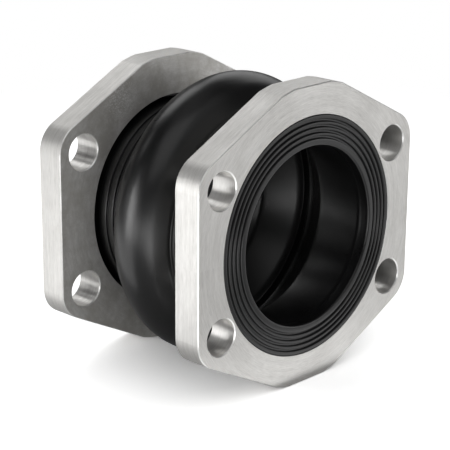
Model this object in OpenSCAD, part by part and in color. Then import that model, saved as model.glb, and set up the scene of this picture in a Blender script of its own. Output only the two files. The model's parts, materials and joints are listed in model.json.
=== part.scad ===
// Flanged rubber expansion joint with one hollow arch and two loose swivel flanges.
// The pipe axis is X, the flats that the joint stands on are at the lowest Z,
// and the origin is on the pipe axis, halfway between the flange faces.

/* [Joint] */
// Length over the two flange faces
joint_len = 108; // [102:1:124]
// Clearance between a rubber collar and the flange that holds it
collar_gap = 0.3; // [0.2:0.05:0.6]

/* [Flange outline] */
// Thickness of each flange
flange_t = 15; // [12:0.5:18]
// Diameter of the round part of a flange
disc_d = 149.6; // [146:0.2:156]
// Distance between the flats at the top and the bottom
flats_d = 147.6; // [143:0.2:149]
// Distance between opposite slanted sides, which run from the disc to the ears
slant_d = 147.2; // [143:0.2:149]
// Radius of the ear around each bolt hole
ear_r = 15.1; // [13:0.1:18]
// Chamfer along the outline of a flange
edge_chamfer = 0.4; // [0.2:0.1:1.5]

/* [Bolt holes] */
// Distance between bolt holes across the width
bolt_pitch_y = 120.7; // [114:0.1:128]
// Distance between bolt holes in height
bolt_pitch_z = 69.9; // [62:0.1:78]
// Diameter of a bolt hole
bolt_hole_d = 18; // [13:0.5:20]
// Chamfer at both ends of a bolt hole
bolt_chamfer = 0.5; // [0.3:0.1:1.5]

/* [Flange bore] */
// Diameter of the flange bore behind the collar
flange_bore_d = 108; // [104:0.5:112]
// Chamfer at the mouth of the recess and at the back of the bore
bore_chamfer = 0.2; // [0.1:0.1:1]

/* [Rubber collar] */
// Diameter of the collar that seals against the pipe flange
collar_d = 117.6; // [115:0.2:124]
// Thickness of the collar
collar_t = 7.5; // [5:0.5:9]
// Rounding of the collar's outer edges
collar_round = 0.3; // [0.2:0.1:0.8]
// Rounding of the lip where the bore opens
lip_round = 0.6; // [0.4:0.1:2]
// Number of sealing grooves in the collar face
groove_count = 4; // [2:1:4]
// Distance from one sealing groove to the next
groove_pitch = 2.7; // [2.2:0.1:2.9]
// Width of a sealing groove at the collar face
groove_w = 1.6; // [1:0.1:1.8]
// Width of a sealing groove at its floor
groove_floor = 0.8; // [0.4:0.1:1]
// Depth of a sealing groove
groove_depth = 1.2; // [0.6:0.1:1.6]
// Width of the plain land outside the outermost groove
outer_land = 1.7; // [1:0.1:2.5]

/* [Rubber neck] */
// Inside diameter at the collar
bore_d = 88; // [84:0.5:90]
// Inside diameter where the hollow of the arch begins
mouth_d = 94; // [90:0.5:95]
// Outside diameter of the neck
neck_d = 100.6; // [99:0.2:103]
// Fillet between the neck and the back of the collar
neck_fillet = 1.5; // [0.5:0.25:2]
// Height of the two moulded rings on each neck
ring_h = 1.1; // [0.5:0.1:1.5]
// Width of the outer ring, which lies at the flange
outer_ring_w = 5.2; // [3:0.2:6]
// Width of the inner ring, which lies at the arch
inner_ring_w = 3.4; // [2:0.2:4]
// Width of the valley between the two rings
ring_valley = 1.4; // [1:0.1:2]
// Rounding of the rings' edges
ring_round = 0.6; // [0.2:0.1:0.7]

/* [Arch] */
// Outside diameter over the crown of the arch
arch_d = 142.6; // [136:0.2:145]
// Outside radius of the crown's curve
crown_r = 16; // [13:0.5:18]
// Width of the arch at its root on the neck
root_w = 44; // [40:0.5:48]
// Fillet between the arch and the neck
root_fillet = 6; // [3:0.5:8]
// Inside diameter of the hollow at its crown
hollow_d = 120; // [114:0.5:124]
// Inside radius of the hollow's crown
hollow_r = 10; // [7:0.5:12]
// Width of the hollow at its mouth
mouth_w = 40; // [32:0.5:42]
// Rounding of the hollow's mouth
mouth_round = 4; // [2:0.5:6]
// Width of the flex groove around the inside of the crown
flex_w = 4.4; // [2:0.2:5.2]
// Depth of the flex groove
flex_depth = 4; // [1:0.2:5]

/* [Hidden] */
$fn = 120;

face_x = joint_len / 2;
disc_r = disc_d / 2;
ear = [bolt_pitch_z, bolt_pitch_y] / 2;
collar_r = collar_d / 2;
recess_r = collar_r + collar_gap;
recess_depth = collar_t + collar_gap;
collar_back = face_x - collar_t;
neck_r = neck_d / 2;
bore_r = bore_d / 2;
ring_top = neck_r + ring_h;
outer_ring = face_x - flange_t;
inner_ring = outer_ring - outer_ring_w - ring_valley;
lip = [face_x, bore_r];
heel = [collar_back, neck_r];
root = [root_w / 2, neck_r];
crown = [0, arch_d / 2 - crown_r];
brow = touch(root, crown, crown_r);
peak = [0, brow[1] + brow[0] * brow[0] / (brow[1] - crown[1])];
mouth = [mouth_w / 2, mouth_d / 2];
hollow = [0, hollow_d / 2 - hollow_r];
vault = touch(mouth, hollow, hollow_r);
over = 1;
// Arcs are drawn this much over size, so that they cross the lines that they
// run into and don't just touch them
ease = 0.003;

// Where a line from point p touches the far side of a circle
function touch(p, centre, r) =
    let (v = p - centre,
         turn = atan2(v[1], v[0]) + acos(r / norm(v)))
    centre + r * [cos(turn), sin(turn)];

function unit(v) = v / norm(v);

function flipped(p) = [-p[0], p[1]];

// Mirror image of a run of points, in the opposite order
function other_end(run) = [for (i = [len(run) - 1 : -1 : 0]) flipped(run[i])];

// Centre of the arc of radius r that touches the lines from p towards a and b
function arc_centre(p, a, b, r) =
    let (u = unit(a - p), v = unit(b - p))
    p + unit(u + v) * r / sin(acos(u * v) / 2);

// Point at which that arc meets the line towards a
function arc_end(p, a, b, r) =
    let (u = unit(a - p), v = unit(b - p))
    p + u * r / tan(acos(u * v) / 2);

// Outline of a filled inside corner, still without the arc cut out of it
function web(p, a, b, r) = [arc_end(p, a, b, r), arc_centre(p, a, b, r), arc_end(p, b, a, r)];

// The sliver to cut away for an outside corner at p rounded with radius r.
// It reaches a little past the corner, so that it cuts clean.
module corner(p, a, b, r) {
    centre = arc_centre(p, a, b, r);
    difference() {
        polygon([p + (p - centre) / 2, arc_end(p, a, b, r), centre, arc_end(p, b, a, r)]);
        translate(centre)
            circle(r + ease);
    }
}

// The disc to cut out of a web
module hollow_corner(p, a, b, r) {
    translate(arc_centre(p, a, b, r))
        circle(r + ease);
}

module both_ends() {
    children();
    mirror([1, 0])
        children();
}

// Turns a half section, drawn with X along the pipe and Y outwards
module turned() {
    rotate([0, 90, 0])
        rotate_extrude()
            mirror([1, -1])
                children();
}

// Chamfered edge of a flange at distance r, running on past both faces
function edge(r, past) =
    [[r - edge_chamfer - past, -past], [r, edge_chamfer],
     [r, flange_t - edge_chamfer], [r - edge_chamfer - past, flange_t + past]];

// Bar with chamfers along its two lower edges, whose outward direction is at
// the angle turn
module half_bar(half, turn, past) {
    side = [[half - edge_chamfer - past, -past], [half, edge_chamfer], [half, flange_t + over]];
    rotate([0, 0, turn])
        rotate([90, 0, 0])
            linear_extrude(2 * disc_d, center = true)
                polygon(concat(side, other_end(side)));
}

// The same bar with chamfers along its upper edges too
module bar(half, turn, past) {
    intersection() {
        half_bar(half, turn, past);
        translate([0, 0, flange_t])
            mirror([0, 0, 1])
                half_bar(half, turn, past);
    }
}

// What a rounded corner takes away: all that lies outside the chamfered arc
// about centre, between the outward directions from and to
module rounding(centre, r, from, to) {
    middle = (from + to) / 2;
    reach = r / cos(middle - from) + r / 2;
    translate([centre[0], centre[1], 0])
        difference() {
            translate([0, 0, -over / 2])
                linear_extrude(flange_t + over)
                    polygon([[0, 0], r * [cos(from), sin(from)],
                             reach * [cos(middle), sin(middle)], r * [cos(to), sin(to)]]);
            rotate_extrude()
                polygon(concat([[0, -over]], edge(r + ease, over), [[0, flange_t + over]]));
        }
}

// Flange blank: a disc with four ears, cut by slanted sides that run on into
// the ears, and by flats at the top and the bottom
module plate() {
    lean = atan2(ear[1], ear[0]) - acos((slant_d / 2 - ear_r) / norm(ear));
    difference() {
        intersection() {
            bar(flats_d / 2, 0, 0);
            bar(ear[1] + ear_r, 90, over);
            bar(slant_d / 2, lean, over);
            bar(slant_d / 2, -lean, over);
        }
        for (end = [0, 1])
            mirror([end, 0, 0]) {
                rounding([0, 0], disc_r, -lean, lean);
                for (side = [0, 1])
                    mirror([0, side, 0])
                        rounding(ear, ear_r, lean, 90);
            }
    }
}

// Hole through the flange with a chamfer at both ends
module through_hole(r, chamfer) {
    translate([0, 0, -over])
        cylinder(h = flange_t + 2 * over, r = r);
    for (end = [0, 1])
        translate([0, 0, end * flange_t])
            mirror([0, 0, end])
                translate([0, 0, -over])
                    cylinder(h = over + chamfer, r1 = r + chamfer + over, r2 = r);
}

// One flange lying on its back, with its sealing face at the top
module flange() {
    difference() {
        plate();
        for (x = [-ear[0], ear[0]], y = [-ear[1], ear[1]])
            translate([x, y, 0])
                through_hole(bolt_hole_d / 2, bolt_chamfer);
        through_hole(flange_bore_d / 2, bore_chamfer);
        translate([0, 0, flange_t - recess_depth])
            cylinder(h = recess_depth + over, r = recess_r);
        translate([0, 0, flange_t - bore_chamfer])
            cylinder(h = bore_chamfer + over, r1 = recess_r,
                     r2 = recess_r + bore_chamfer + over);
    }
}

// Rounds the edges of the neck ring that starts at x and runs w towards the arch
module ring_edges(x, w) {
    corner([x, ring_top], [x - w, ring_top], [x, 0], ring_round);
    corner([x - w, ring_top], [x, ring_top], [x - w, 0], ring_round);
}

// Section of the whole rubber body with its corners still sharp
module sharp_section() {
    outside = concat(
        [lip, [face_x, collar_r], [collar_back, collar_r]],
        web(heel, [collar_back, collar_r], [0, neck_r], neck_fillet),
        [[outer_ring, neck_r], [outer_ring, ring_top],
         [outer_ring - outer_ring_w, ring_top], [outer_ring - outer_ring_w, neck_r],
         [inner_ring, neck_r], [inner_ring, ring_top],
         [inner_ring - inner_ring_w, ring_top], [inner_ring - inner_ring_w, neck_r]],
        web(root, heel, peak, root_fillet),
        [peak]);
    inside = [flipped(lip), flipped(mouth), flipped(vault), hollow, vault, mouth];
    polygon(concat(outside, other_end([for (i = [1 : len(outside) - 2]) outside[i]]), inside));
}

// Sealing groove in the collar face at the radius middle, with sloping sides
module groove(middle) {
    flare = (groove_w - groove_floor) / 2 / groove_depth;
    mouth_half = groove_w / 2 + flare * over;
    translate([face_x, middle])
        polygon([[over, mouth_half], [-groove_depth, groove_floor / 2],
                 [-groove_depth, -groove_floor / 2], [over, -mouth_half]]);
}

// Section of the rubber body
module body_section() {
    difference() {
        sharp_section();
        corner(peak, root, flipped(root), crown_r);
        translate(hollow)
            circle(hollow_r + ease);
        translate([-flex_w / 2, hollow[1]])
            square([flex_w, hollow_r + flex_depth]);
        both_ends() {
            corner([face_x, collar_r], lip, [collar_back, collar_r], collar_round);
            corner([collar_back, collar_r], [face_x, collar_r], heel, collar_round);
            hollow_corner(heel, [collar_back, collar_r], [0, neck_r], neck_fillet);
            ring_edges(outer_ring, outer_ring_w);
            ring_edges(inner_ring, inner_ring_w);
            hollow_corner(root, heel, peak, root_fillet);
            corner(lip, mouth, [face_x, collar_r], lip_round);
            corner(mouth, lip, vault, mouth_round);
            for (i = [0 : groove_count - 1])
                groove(collar_r - outer_land - groove_w / 2 - i * groove_pitch);
        }
    }
}

module bellows() {
    color([0.07, 0.07, 0.075])
        turned()
            body_section();
}

module front_flange() {
    color([0.8, 0.8, 0.79])
        translate([face_x - flange_t, 0, 0])
            rotate([0, 90, 0])
                flange();
}

module rear_flange() {
    color([0.8, 0.8, 0.79])
        mirror([1, 0, 0])
            translate([face_x - flange_t, 0, 0])
                rotate([0, 90, 0])
                    flange();
}

bellows();
front_flange();
rear_flange();
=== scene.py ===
"""Looks of the flanged rubber expansion joint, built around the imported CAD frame."""

import json
import math

import bmesh
import bpy
from mathutils import Matrix, Vector

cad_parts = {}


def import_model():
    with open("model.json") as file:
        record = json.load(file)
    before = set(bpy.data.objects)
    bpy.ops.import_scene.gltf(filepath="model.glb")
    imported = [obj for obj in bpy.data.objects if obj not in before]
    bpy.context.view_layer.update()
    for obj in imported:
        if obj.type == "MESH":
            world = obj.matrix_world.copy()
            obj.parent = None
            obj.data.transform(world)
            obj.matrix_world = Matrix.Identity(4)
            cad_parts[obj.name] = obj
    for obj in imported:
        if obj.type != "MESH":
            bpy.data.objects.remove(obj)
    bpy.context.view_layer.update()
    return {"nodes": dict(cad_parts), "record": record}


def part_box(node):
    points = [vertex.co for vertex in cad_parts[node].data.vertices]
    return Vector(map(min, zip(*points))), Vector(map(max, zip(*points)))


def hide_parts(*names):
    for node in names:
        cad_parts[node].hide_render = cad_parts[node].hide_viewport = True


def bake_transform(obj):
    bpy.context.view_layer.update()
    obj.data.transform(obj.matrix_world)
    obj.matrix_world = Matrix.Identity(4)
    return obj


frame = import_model()

MM = 0.001
SCENE = bpy.context.scene
FLOOR_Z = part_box("front_flange")[0].z

# Camera, fitted to the photograph's flange edges and bolt holes
CAMERA_AZIMUTH = 43.785
CAMERA_ELEVATION = 17.709
CAMERA_ROLL = 0.438
CAMERA_DISTANCE = 825.877 * MM
CAMERA_ASIDE = -1.513 * MM
CAMERA_LIFT = -6.217 * MM
FOCAL_PIXELS = 1658.665
FRAME_PIXELS = 450
SENSOR = 36.0
CLIP_NEAR = 0.01
CLIP_FAR = 30

# The joint's own lengths, in millimetres, with x along the pipe from the middle and r from its
# axis: first the steel flanges
FACE_X = 54.0
FLANGE_T = 15.0
FLANGE_BACK_X = FACE_X - FLANGE_T

# Collar, bore lip and sealing grooves
COLLAR_R = 58.8
COLLAR_T = 7.5
COLLAR_ROUND = 0.3
LIP_R = 44.0
LIP_ROUND = 1.1
GROOVE_COUNT = 4
GROOVE_PITCH = 2.7
GROOVE_W = 1.6
GROOVE_FLOOR = 0.8
GROOVE_DEPTH = 1.2
GROOVE_EDGE = 0.2
GROOVE_LIP = 0.45
OUTER_LAND = 1.7

# Neck and its two moulded rings
NECK_R = 50.3
NECK_FILLET = 1.5
RING_TOP = NECK_R + 1.1
RING_WIDTHS = (5.2, 3.4)
RING_VALLEY = 1.4
RING_ROUND = 0.6
RING_FOOT = 0.15

# Outside of the arch
ARCH_R = 71.3
CROWN_R = 16.0
CROWN_MID = ARCH_R - CROWN_R
ROOT_X = 22.0
ROOT_FILLET = 6.0

# Hollow of the arch, with the flex groove around its crown
MOUTH_X = 20.0
MOUTH_R = 47.0
MOUTH_ROUND = 4.0
HOLLOW_CROWN = 60.0
HOLLOW_R = 10.0
HOLLOW_MID = HOLLOW_CROWN - HOLLOW_R
HOLLOW_STEPS = 10
FLEX_W = 4.4
FLEX_R = HOLLOW_CROWN + 4.0
FLEX_EDGE = 0.15
FLEX_MOUTH = 0.12

# Fine mould lines: one in the bore and two on each flank of the arch
SEAM_W = 0.5
SEAM_DEPTH = 0.15
BORE_SEAM_X = 47.6
FLANK_SEAM_R = 56.5
FLANK_SEAM_GAP = 0.75

# Fineness of the rubber mesh: degrees, length and least number of steps on a rounding, longest
# straight, and parts around the axis
CURVE_DEGREES = 16
CURVE_STEP = 1.2
CURVE_LEAST = 3
STRAIGHT_STEP = 1.8
AROUND = 180

# Bolt holes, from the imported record, and the recess that holds the collar, with how far past
# their radius each one's tone starts and ends to fade
BOLTS = frame["record"]["mounts"][0]["dims"]
BOLT_Y = BOLTS["spacing_x_mm"] / 2
BOLT_Z = BOLTS["spacing_y_mm"] / 2
BOLT_R = BOLTS["hole_r_mm"]
RECESS_R = COLLAR_R + 0.3
HOLE_FADE = (0.1, 0.3)
# The recess's fade bounds a painted shade, near black, on the wall where the collar meets the flange
RECESS_FADE = (0.3, 0.5)

# Noises, as (scale, detail, roughness)
GRAIN_FINE = (3000, 3.0, 0.65)
GRAIN_COARSE = (620, 2.0, 0.5)
STEEL_CLOUD = (42, 4.0, 0.6)
STEEL_STAINS = (90, 5.0, 0.7)
SPECKS = (1500, 2.0, 0.6)
RUBBER_SKIN = (1100, 4.0, 0.7)
RUBBER_CLOUD = (45, 3.0, 0.55)

# Share of the first noise where two are mixed
FINE_SHARE = 0.65
GRAIN_SHARE = 0.75
SKIN_SHARE = 0.4

# Steel: the length that its grain is given for one radian around the axis, which stretches it
# into lines, its tones, and its roughness from dark to light lines
GRAIN_STRETCH = 0.0045
STEEL_SPREAD = (0.34, 0.66)
STEEL_DARK = (0.55, 0.54, 0.52)
STEEL_LIGHT = (0.79, 0.78, 0.76)
STEEL_ROUGH = (0.54, 0.40)
STEEL_METALLIC = 0.85

# How far a surface is turned towards the pipe's direction where it starts and ends to count as
# flat, how far a chamfer is, and by how much its tone may differ from that
FLAT_TURN = (0.6, 0.8)
HALF_TURNED = 0.707
CHAMFER_SPREAD = (0.12, 0.25)

# Steel in the bolt holes and on the chamfers, which are smoother, and around the rubber; the chamfers
# are painted near white as a painted highlight, and the recess wall around the rubber is painted near
# black as painted shade
HOLE_POLISH = 0.12
BUMP_OUTSIDE = 0.15
BUMP_IN_HOLE = 0.05
BUMP_HEIGHT = 0.06 * MM
CHAMFER_POLISH = 0.1
CHAMFER_HIGHLIGHT_COLOUR = (0.93, 0.925, 0.91)
RECESS_SHADE_COLOUR = (0.05, 0.05, 0.05)

# Back of each flange, which is duller and stained, and one spot on the rear flange's back with painted
# highlight, white specks that stand in for the steel's sheen, given by its middle and its ends in
# millimetres
STAIN_SPREAD = (0.38, 0.62)
STAIN_COLOUR = (0.52, 0.505, 0.475)
BACK_METALLIC = 0.66
SHEEN_SPOT_Y = -36.0
SHEEN_SPOT_Z = 57.0
SHEEN_SPOT_FADE = (4.0, 14.0)
SHEEN_SPOT_SPREAD = (0.5, 0.62)
SHEEN_SPOT_DEPTH = 0.2
SHEEN_SPOT_STRENGTH = 0.5
SHEEN_SPOT_COLOUR = (1, 1, 1)
SHEEN_SPOT_DULLNESS = 0.35

# Rubber: tones, and roughness from dark to light spots
RUBBER_SPREAD = (0.3, 0.7)
RUBBER_DARK = (0.0025, 0.0025, 0.0027)
RUBBER_LIGHT = (0.0045, 0.0045, 0.0048)
RUBBER_ROUGH = (0.26, 0.36)
RUBBER_SPECULAR = 0.66
RUBBER_BUMP = 0.22
RUBBER_BUMP_HEIGHT = 0.08 * MM

# World: its light on matt surfaces, and what mirrors show at the horizon and above WORLD_HIGH
WORLD_LIGHT = 0.43
WORLD_AT_HORIZON = 0.05
WORLD_OVERHEAD = 0.02
WORLD_HIGH = 0.6

# Floor: its size in metres, and its colour to the camera, in mirrors and for the light that it
# throws back
FLOOR_RADIUS = 6.0
FLOOR_SEGMENTS = 96
FLOOR_SEEN = 1.85
FLOOR_MIRRORED = 0.36
FLOOR_LIGHT = 0.75

# Distances from the middle, in metres, at which it starts to turn and has turned pure white
FLOOR_NEAR = 0.25
FLOOR_FAR = 0.6

# Softboxes, as (name, azimuth, elevation, distance, size, radiance) in degrees and metres, with
# the point that one is aimed at as a last value where it isn't the middle
LAMPS = (
    ("strip", -22, 6, 0.5, (0.08, 0.26), 7.2),
    ("strip_low", -10, 4, 0.5, (0.08, 0.22), 5.2),
    ("low", -8, 0, 0.27, (0.30, 0.06), 0.8, (0.05, -0.08, -0.035)),
    ("low_front", 48, 0, 0.30, (0.36, 0.06), 2.7, (0.03, -0.03, -0.035)),
    ("patch", 6, -4, 0.45, (0.12, 0.12), 2.2),
    ("corner", -45, 9, 0.8, (0.20, 0.24), 0.6),
    ("corner_high", -62, 36, 0.9, (0.2, 0.2), 0.9),
    ("right", 136, 2, 0.7, (0.6, 0.35), 1.32),
    ("slope", -104, 47, 1.0, (0.5, 0.5), 1.55),
    ("overhead", 0, 88, 1.0, (0.6, 0.6), 0.2),
    ("back", 205, 32, 1.2, (1.0, 0.7), 1.1),
    ("side", 100, 50, 1.2, (0.8, 0.8), 0.3),
    ("front", 40, 50, 1.0, (0.8, 0.8), 0.65),
)

# Softboxes that lie just above the floor and face up, as (name, centre, size, radiance)
CARDS = (
    ("card_left", (-0.19, -0.21), (0.36, 0.20), 0.92),
    ("card_front", (0.22, -0.16), (0.24, 0.24), 0.9),
    ("card_patch", (0.20, -0.19), (0.08, 0.08), 6.0),
    ("card_right", (0.24, 0.25), (0.24, 0.2), 0.6),
    ("card_foot", (0.08, 0.06), (0.045, 0.3), 0.85),
)
CARD_LIFT = 2 * MM


def arc(centre, r, start, end, steps):
    """Points on an arc, angles in degrees."""
    turns = [math.radians(start + (end - start) * i / steps) for i in range(steps + 1)]
    return [(centre[0] + r * math.cos(t), centre[1] + r * math.sin(t)) for t in turns]


def rounded(before, corner, after, r):
    """Points on the arc of radius r that rounds a corner of the section."""
    p, a, b = Vector(corner), Vector(before), Vector(after)
    u, v = (a - p).normalized(), (b - p).normalized()
    half = math.acos(max(-1, min(1, u.dot(v)))) / 2
    centre = p + (u + v).normalized() * r / math.sin(half)
    start = p + u * r / math.tan(half) - centre
    end = p + v * r / math.tan(half) - centre
    first = math.atan2(start.y, start.x)
    sweep = math.atan2(end.y, end.x) - first
    sweep = (sweep + math.pi) % (2 * math.pi) - math.pi
    by_angle = round(abs(math.degrees(sweep)) / CURVE_DEGREES)
    by_length = round(abs(sweep) * r / CURVE_STEP)
    steps = max(CURVE_LEAST, by_angle, by_length)
    return arc(centre, r, math.degrees(first), math.degrees(first + sweep), steps)


def outline(corners):
    """Section through a closed run of (x, r, rounding) corners."""
    points = []
    for i, (x, r, rounding) in enumerate(corners):
        if rounding:
            after = corners[(i + 1) % len(corners)]
            points += rounded(corners[i - 1][:2], (x, r), after[:2], rounding)
        else:
            points.append((x, r))
    return points


def touch(p, centre, r):
    """Where a line from p touches the far side of a circle."""
    v = Vector(p) - Vector(centre)
    turn = math.atan2(v.y, v.x) + math.acos(r / v.length)
    return centre[0] + r * math.cos(turn), centre[1] + r * math.sin(turn)


def peak_of(p, centre, r):
    """Where the line from p that touches the circle meets the middle plane."""
    t = touch(p, centre, r)
    return 0.0, t[1] + t[0] * t[0] / (t[1] - centre[1])


def spaced(points, gap):
    """The points with long straights divided into steps no longer than the gap."""
    out = []
    for a, b in zip(points, points[1:] + points[:1]):
        steps = int(math.dist(a, b) // gap) + 1
        for k in range(steps):
            share = k / steps
            out.append((a[0] + (b[0] - a[0]) * share, a[1] + (b[1] - a[1]) * share))
    return out


def mirrored(corners):
    """The corners on the other side of the middle plane."""
    return [(-x, r, rounding) for x, r, rounding in corners]


def notch(start):
    """A fine V across a surface, as (distance along it, depth)."""
    return [(start, 0), (start + SEAM_W / 2, SEAM_DEPTH), (start + SEAM_W, 0)]


def bore_seam():
    """Corners of the fine mould line around the bore, near the back of the collar."""
    slope = (MOUTH_R - LIP_R) / (FACE_X - MOUTH_X)
    places = [(BORE_SEAM_X - along, depth) for along, depth in notch(-SEAM_W / 2)]
    return [(x, LIP_R + (FACE_X - x) * slope + depth, 0) for x, depth in places]


def flank_seams(peak):
    """Corners of the two fine mould lines on the flank of the arch."""
    start = Vector((ROOT_X, NECK_R))
    along = (Vector(peak) - start).normalized()
    inward = Vector((along.y, -along.x))
    inward = inward if inward.y < 0 else -inward
    base = start + along * (FLANK_SEAM_R - NECK_R) / along.y
    steps = notch(-SEAM_W / 2) + notch(SEAM_W / 2 + FLANK_SEAM_GAP)
    return [(*(base + along * a + inward * depth), 0) for a, depth in steps]


def grooves():
    """Corners of the sealing grooves in the collar face, from the innermost one outward."""
    floor_x = FACE_X - GROOVE_DEPTH
    corners = []
    for i in reversed(range(GROOVE_COUNT)):
        middle = COLLAR_R - OUTER_LAND - GROOVE_W / 2 - i * GROOVE_PITCH
        corners += [
            (FACE_X, middle - GROOVE_W / 2, GROOVE_LIP),
            (floor_x, middle - GROOVE_FLOOR / 2, GROOVE_EDGE),
            (floor_x, middle + GROOVE_FLOOR / 2, GROOVE_EDGE),
            (FACE_X, middle + GROOVE_W / 2, GROOVE_LIP),
        ]
    return corners


def collar_rim():
    """Corners of the collar's rim and back, down to the neck."""
    back = FACE_X - COLLAR_T
    return [
        (FACE_X, COLLAR_R, COLLAR_ROUND),
        (back, COLLAR_R, COLLAR_ROUND),
        (back, NECK_R, NECK_FILLET),
    ]


def rings():
    """Corners of the two moulded rings on the neck."""
    corners = []
    x = FLANGE_BACK_X
    for width in RING_WIDTHS:
        corners += [
            (x, NECK_R, RING_FOOT),
            (x, RING_TOP, RING_ROUND),
            (x - width, RING_TOP, RING_ROUND),
            (x - width, NECK_R, RING_FOOT),
        ]
        x -= width + RING_VALLEY
    return corners


def hollow():
    """Corners of one half of the hollow, from its mouth to the floor of the flex groove."""
    vault = touch((MOUTH_X, MOUTH_R), (0, HOLLOW_MID), HOLLOW_R)
    start = math.degrees(math.atan2(vault[1] - HOLLOW_MID, vault[0]))
    stop = math.degrees(math.acos((FLEX_W / 2 + FLEX_EDGE) / HOLLOW_R))
    shoulder = arc((0, HOLLOW_MID), HOLLOW_R, start, stop, HOLLOW_STEPS)
    return (
        [(MOUTH_X, MOUTH_R, MOUTH_ROUND)]
        + [(x, r, 0) for x, r in shoulder]
        + [(FLEX_W / 2, shoulder[-1][1], FLEX_MOUTH), (FLEX_W / 2, FLEX_R, FLEX_EDGE)]
    )


def rubber_section():
    """Closed section of the rubber body, as (x, r) in millimetres."""
    lip = [(FACE_X, LIP_R, LIP_ROUND)]
    peak = peak_of((ROOT_X, NECK_R), (0, CROWN_MID), CROWN_R)
    root = [(ROOT_X, NECK_R, ROOT_FILLET)]
    outer = grooves() + collar_rim() + rings() + root + flank_seams(peak)
    inner = bore_seam() + hollow()
    outside = lip + outer + [(*peak, CROWN_R)] + mirrored(outer[::-1])
    inside = mirrored(lip + inner) + inner[::-1]
    return spaced(outline(outside + inside), STRAIGHT_STEP)


def revolve(name, section, around):
    """A closed body turned about X from a closed (x, r) section in millimetres."""
    mesh = bpy.data.meshes.new(name)
    verts = []
    for k in range(around):
        t = 2 * math.pi * k / around
        c, s = math.cos(t) * MM, math.sin(t) * MM
        verts += [(x * MM, r * c, r * s) for x, r in section]
    n = len(section)
    faces = []
    for k in range(around):
        a, b = k * n, (k + 1) % around * n
        faces += [(a + i, a + (i + 1) % n, b + (i + 1) % n, b + i) for i in range(n)]
    mesh.from_pydata(verts, [], faces)
    mesh.update()
    bm = bmesh.new()
    bm.from_mesh(mesh)
    bmesh.ops.recalc_face_normals(bm, faces=bm.faces)
    bm.to_mesh(mesh)
    bm.free()
    mesh.shade_smooth()
    obj = bpy.data.objects.new(name, mesh)
    SCENE.collection.objects.link(obj)
    return obj


class Nodes:
    """Shorthand for building one node tree."""

    def __init__(self, owner):
        owner.use_nodes = True
        self.tree = owner.node_tree
        self.tree.nodes.clear()

    def add(self, kind, inputs=None, **settings):
        """A node with its settings made and its inputs set or linked."""
        node = self.tree.nodes.new("ShaderNode" + kind)
        for key, value in settings.items():
            setattr(node, key, value)
        for key, value in (inputs or {}).items():
            if isinstance(value, bpy.types.NodeSocket):
                self.tree.links.new(value, node.inputs[key])
            else:
                node.inputs[key].default_value = value
        return node

    def math(self, operation, *values):
        return self.add("Math", dict(enumerate(values)), operation=operation).outputs[0]

    def plus(self, a, b):
        return self.math("ADD", a, b)

    def minus(self, a, b):
        return self.math("SUBTRACT", a, b)

    def times(self, a, b):
        return self.math("MULTIPLY", a, b)

    def either(self, a, b):
        return self.math("MAXIMUM", a, b)

    def absolute(self, value):
        return self.math("ABSOLUTE", value)

    def weighed(self, a, b, share):
        """A mean of a and b, in which a has this share."""
        return self.plus(self.times(a, share), self.times(b, 1 - share))

    def length(self, *parts):
        """Length of the arrow with these components."""
        total = self.math("POWER", parts[0], 2)
        for part in parts[1:]:
            total = self.plus(total, self.math("POWER", part, 2))
        return self.math("SQRT", total)

    def spread(self, value, low, high, to_low=0, to_high=1):
        """The value's stretch from low to high, spread from to_low to to_high and held at its ends."""
        inputs = {"Value": value, "From Min": low, "From Max": high}
        inputs.update({"To Min": to_low, "To Max": to_high})
        return self.add("MapRange", inputs).outputs[0]

    def within(self, r, fade, *parts):
        """1 within a radius, falling to 0 over a fade past it, both in millimetres."""
        return self.spread(self.length(*parts), (r + fade[0]) * MM, (r + fade[1]) * MM, 1, 0)

    def noise(self, place, scale, detail, roughness):
        inputs = {"Vector": place, "Scale": scale, "Detail": detail, "Roughness": roughness}
        return self.add("TexNoise", inputs).outputs[0]

    def mix(self, factor, a, b):
        """A colour that is a where the factor is 0 and b where it is 1."""
        node = self.add("Mix", {0: factor}, data_type="RGBA")
        for socket, value in ((node.inputs[6], a), (node.inputs[7], b)):
            if isinstance(value, bpy.types.NodeSocket):
                self.tree.links.new(value, socket)
            else:
                socket.default_value = (*value, 1)
        return node.outputs[2]


def in_bolt_hole(n, y, z):
    """1 on the wall of a bolt hole, 0 elsewhere."""
    aside = n.minus(n.absolute(y), BOLT_Y * MM)
    above = n.minus(n.absolute(z), BOLT_Z * MM)
    return n.within(BOLT_R, HOLE_FADE, aside, above)


def on_chamfer(n, facing):
    """1 where a surface is turned half towards the pipe's direction, as the chamfers are."""
    turned = n.absolute(n.minus(n.absolute(facing), HALF_TURNED))
    return n.spread(turned, *CHAMFER_SPREAD, 1, 0)


def painted_sheen_specks(n, place, x, y, z):
    """Painted highlight: white specks in one spot on the back of the rear flange, standing in for the
    steel's sheen.
    """
    spot = n.within(0, SHEEN_SPOT_FADE, n.minus(y, SHEEN_SPOT_Y * MM), n.minus(z, SHEEN_SPOT_Z * MM))
    from_back = n.absolute(n.plus(x, FLANGE_BACK_X * MM))
    rear = n.spread(from_back, 0.0, SHEEN_SPOT_DEPTH * MM, SHEEN_SPOT_STRENGTH, 0)
    specks = n.spread(n.noise(place, *SPECKS), *SHEEN_SPOT_SPREAD)
    return n.times(n.times(spot, rear), specks)


def steel_grain(n, x, y, z, flat):
    """Turned rings on the faces, and lines along the edges and in the holes."""
    around = n.times(n.math("ARCTAN2", z, y), GRAIN_STRETCH)
    across = n.times(n.length(y, z), flat)
    place = n.add("CombineXYZ", {0: x, 1: across, 2: around}).outputs[0]
    return n.weighed(n.noise(place, *GRAIN_FINE), n.noise(place, *GRAIN_COARSE), FINE_SHARE)


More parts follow.
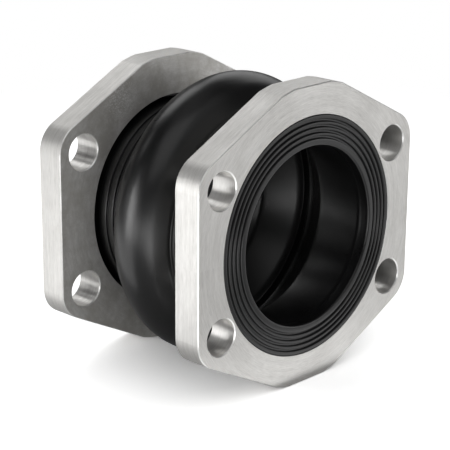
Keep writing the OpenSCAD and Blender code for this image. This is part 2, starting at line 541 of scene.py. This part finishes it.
def stainless():
    """Machined stainless steel, with smoother holes and chamfers and a duller back, a painted
    highlight on the chamfers, painted shade on the recess wall and white specks of painted highlight
    on the rear flange's back.
    """
    material = bpy.data.materials.new("stainless")
    n = Nodes(material)
    coordinates = n.add("TexCoord").outputs
    place = coordinates["Object"]
    x, y, z = n.add("SeparateXYZ", {0: place}).outputs
    facing = n.add("SeparateXYZ", {0: coordinates["Normal"]}).outputs[0]
    flat = n.spread(n.absolute(facing), *FLAT_TURN)
    wall = n.minus(1.0, flat)
    grain = steel_grain(n, x, y, z, flat)
    tone = n.weighed(grain, n.noise(place, *STEEL_CLOUD), GRAIN_SHARE)

    hole = n.times(in_bolt_hole(n, y, z), wall)
    chamfer = on_chamfer(n, facing)
    back = n.times(n.math("LESS_THAN", n.times(x, facing), 0.0), flat)
    stain = n.times(back, n.spread(n.noise(place, *STEEL_STAINS), *STAIN_SPREAD, 1, 0))
    # Painted highlight: white specks in one spot on the rear flange's back
    sheen_specks = painted_sheen_specks(n, place, x, y, z)
    # Painted shade: the recess wall around the collar is painted near black
    recess_shade = n.times(n.within(RECESS_R, RECESS_FADE, y, z), wall)

    colour = n.mix(n.spread(tone, *STEEL_SPREAD), STEEL_DARK, STEEL_LIGHT)
    # Painted highlight: the chamfers are painted near white
    colour = n.mix(chamfer, colour, CHAMFER_HIGHLIGHT_COLOUR)
    colour = n.mix(stain, colour, STAIN_COLOUR)
    # Painted highlight: the white specks
    colour = n.mix(sheen_specks, colour, SHEEN_SPOT_COLOUR)
    # Painted shade in the recess
    colour = n.mix(recess_shade, colour, RECESS_SHADE_COLOUR)
    rough = n.spread(tone, *STEEL_SPREAD, *STEEL_ROUGH)
    rough = n.minus(rough, n.times(hole, HOLE_POLISH))
    rough = n.minus(rough, n.times(chamfer, CHAMFER_POLISH))
    metallic = n.spread(back, 0, 1, STEEL_METALLIC, BACK_METALLIC)
    # Lower metallic under the painted highlight specks, which makes them lighter
    metallic = n.minus(metallic, n.times(sheen_specks, SHEEN_SPOT_DULLNESS))
    strength = n.spread(hole, 0, 1, BUMP_OUTSIDE, BUMP_IN_HOLE)
    bump = n.add("Bump", {"Strength": strength, "Distance": BUMP_HEIGHT, "Height": grain})
    inputs = {"Base Color": colour, "Metallic": metallic, "Roughness": rough}
    inputs["Normal"] = bump.outputs[0]
    shader = n.add("BsdfPrincipled", inputs)
    n.add("OutputMaterial", {"Surface": shader.outputs[0]})
    return material


def black_rubber():
    """Moulded black rubber with a satin skin."""
    material = bpy.data.materials.new("rubber")
    n = Nodes(material)
    place = n.add("TexCoord").outputs["Object"]
    skin = n.noise(place, *RUBBER_SKIN)
    tone = n.weighed(skin, n.noise(place, *RUBBER_CLOUD), SKIN_SHARE)
    colour = n.mix(n.spread(tone, *RUBBER_SPREAD), RUBBER_DARK, RUBBER_LIGHT)
    rough = n.spread(tone, *RUBBER_SPREAD, *RUBBER_ROUGH)
    bump = n.add("Bump", {"Strength": RUBBER_BUMP, "Distance": RUBBER_BUMP_HEIGHT, "Height": skin})
    inputs = {"Base Color": colour, "Roughness": rough, "Normal": bump.outputs[0]}
    inputs["Specular IOR Level"] = RUBBER_SPECULAR
    shader = n.add("BsdfPrincipled", inputs)
    n.add("OutputMaterial", {"Surface": shader.outputs[0]})
    return material


def direction(azimuth, elevation):
    """Arrow from the middle, with azimuth from -Y towards +X, in radians."""
    flat = math.cos(elevation)
    return Vector((math.sin(azimuth) * flat, -math.cos(azimuth) * flat, math.sin(elevation)))


def camera():
    """The photograph's camera."""
    azimuth = math.radians(CAMERA_AZIMUTH)
    roll = math.radians(CAMERA_ROLL)
    back = direction(azimuth, math.radians(CAMERA_ELEVATION))
    level = Vector((math.cos(azimuth), math.sin(azimuth), 0))
    rise = back.cross(level)
    right = math.cos(roll) * level + math.sin(roll) * rise
    up = -math.sin(roll) * level + math.cos(roll) * rise
    data = bpy.data.cameras.new("camera")
    data.sensor_width = SENSOR
    data.lens = FOCAL_PIXELS * SENSOR / FRAME_PIXELS
    data.clip_start = CLIP_NEAR
    data.clip_end = CLIP_FAR
    obj = bpy.data.objects.new("camera", data)
    place = back * CAMERA_DISTANCE + level * CAMERA_ASIDE + rise * CAMERA_LIFT
    axes = Matrix((right, up, back)).transposed()
    obj.matrix_world = Matrix.Translation(place) @ axes.to_4x4()
    SCENE.collection.objects.link(obj)
    SCENE.camera = obj


def ray_kinds(n):
    """1 for rays straight from the camera, and 1 for rays that were mirrored or passed through."""
    path = n.add("LightPath").outputs
    return path["Is Camera Ray"], n.either(path["Is Glossy Ray"], path["Is Transmission Ray"])


def world():
    """White to the camera, dim in mirrors, and an even light on matt surfaces."""
    studio = bpy.data.worlds.new("studio")
    SCENE.world = studio
    n = Nodes(studio)
    seen, reflected = ray_kinds(n)
    height = n.add("SeparateXYZ", {0: n.add("TexCoord").outputs["Generated"]}).outputs[2]
    dim = n.spread(height, 0.0, WORLD_HIGH, WORLD_AT_HORIZON, WORLD_OVERHEAD)
    matt = n.minus(1.0, n.either(reflected, seen))
    strength = n.plus(n.times(reflected, dim), seen)
    strength = n.plus(strength, n.times(matt, WORLD_LIGHT))
    shade = n.add("Background", {"Color": (1, 1, 1, 1), "Strength": strength})
    n.add("OutputWorld", {"Surface": shade.outputs[0]})


def floor_paint():
    """Pale paint that keeps the shadow near the object and is pure white to the camera far off."""
    material = bpy.data.materials.new("floor")
    n = Nodes(material)
    seen, reflected = ray_kinds(n)
    pale = n.mix(reflected, (FLOOR_LIGHT,) * 3, (FLOOR_MIRRORED,) * 3)
    shade = n.add("BsdfDiffuse", {"Color": n.mix(seen, pale, (FLOOR_SEEN,) * 3)})
    x, y, _ = n.add("SeparateXYZ", {0: n.add("TexCoord").outputs["Object"]}).outputs
    far = n.spread(n.length(x, y), FLOOR_NEAR, FLOOR_FAR)
    white = n.add("Emission", {"Color": (1, 1, 1, 1), "Strength": 1.0})
    mixed = n.add("MixShader", {0: n.times(far, seen), 1: shade.outputs[0], 2: white.outputs[0]})
    n.add("OutputMaterial", {"Surface": mixed.outputs[0]})
    return material


def floor():
    """Round floor under the flats that the joint stands on."""
    mesh = bpy.data.meshes.new("floor")
    bm = bmesh.new()
    bmesh.ops.create_circle(bm, cap_ends=True, radius=FLOOR_RADIUS, segments=FLOOR_SEGMENTS)
    bm.to_mesh(mesh)
    bm.free()
    obj = bpy.data.objects.new("floor", mesh)
    obj.location = (0, 0, FLOOR_Z)
    SCENE.collection.objects.link(obj)
    mesh.materials.append(floor_paint())


def lamp(name, azimuth, elevation, distance, size, radiance, target=(0, 0, 0)):
    """A softbox that faces its target, hidden from the camera, with its angles in degrees."""
    toward = direction(math.radians(azimuth), math.radians(elevation))
    data = bpy.data.lights.new(name, "AREA")
    data.shape = "RECTANGLE"
    data.size, data.size_y = size
    data.energy = radiance * math.pi * size[0] * size[1]
    obj = bpy.data.objects.new(name, data)
    obj.location = Vector(target) + toward * distance
    obj.rotation_euler = toward.to_track_quat("Z", "Y").to_euler()
    obj.visible_camera = False
    SCENE.collection.objects.link(obj)


def lights():
    """All softboxes."""
    for row in LAMPS:
        lamp(*row)
    for name, centre, size, radiance in CARDS:
        lamp(name, 0, -90, 0.0, size, radiance, target=(*centre, FLOOR_Z + CARD_LIFT))


def flanges():
    """Steel on both CAD flanges."""
    steel = stainless()
    for name in ("front_flange", "rear_flange"):
        node = frame["nodes"][name]
        node.data.materials.clear()
        node.data.materials.append(steel)


def bellows():
    """Rubber body, which takes the place of the CAD bellows."""
    body = revolve("bellows_body", rubber_section(), AROUND)
    body.data.materials.append(black_rubber())
    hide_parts("bellows")
    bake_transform(body)


flanges()
bellows()
floor()
world()
lights()
camera()
SCENE.view_settings.view_transform = "Standard"
